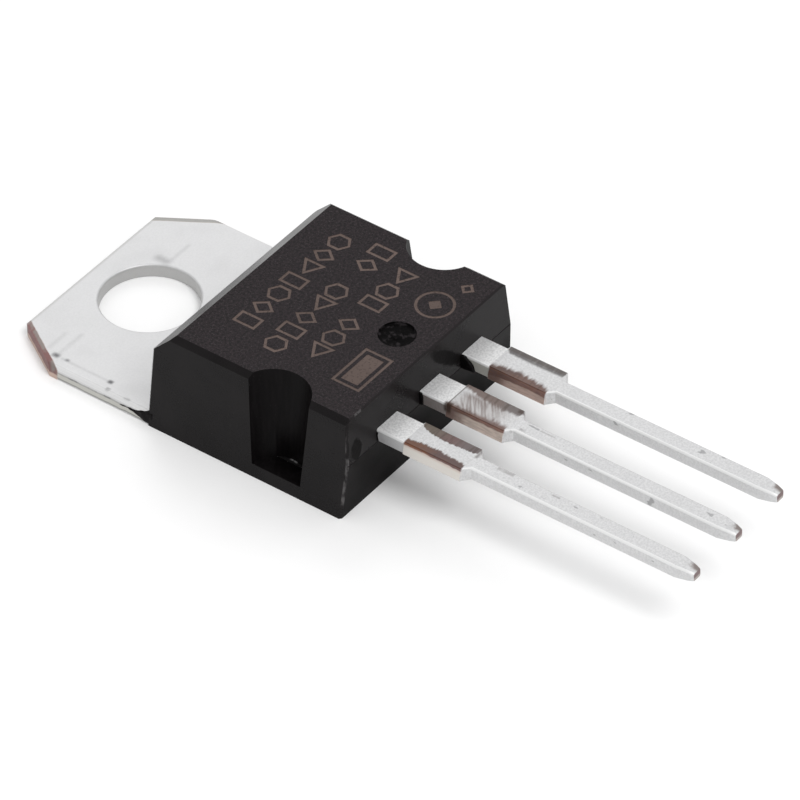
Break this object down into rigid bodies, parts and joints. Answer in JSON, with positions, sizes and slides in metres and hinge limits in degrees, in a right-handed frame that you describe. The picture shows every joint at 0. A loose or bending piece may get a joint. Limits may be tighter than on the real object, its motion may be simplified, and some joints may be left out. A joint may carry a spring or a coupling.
{
  "type": "voltage regulator",
  "caption": "Voltage regulator in a black moulded case with a drilled metal tab for a heat sink and a row of straight flat leads.",
  "frame": {"origin": "middle of the screw hole in the tab, on the flat back face", "axes": "+Y points to the free end of the tab and the leads run along -Y, +Z is the side that carries the marking, +X is on the output lead's side. The part lies on its back face at z = 0."},
  "size_m": [0.0104, 0.0291, 0.0044],
  "materials": {
    "moulding_compound": "black filled epoxy, fine-grained matt on the marked side and smoother on the drafted sides",
    "plated_copper": "matt tin plating on copper strip, bare copper on the cut edges",
    "silicon": "dark polished silicon",
    "solder": "dull grey soft solder",
    "bond_wire_metal": "bright drawn wire"
  },
  "bodies": {
    "root": {"moulded_body": "moulding_compound", "tab_frame": "plated_copper", "input_lead": "plated_copper", "output_lead": "plated_copper", "chip": "silicon", "chip_solder": "solder", "input_wire": "bond_wire_metal", "output_wire": "bond_wire_metal", "ground_wire": "bond_wire_metal"}
  },
  "joints": []
}
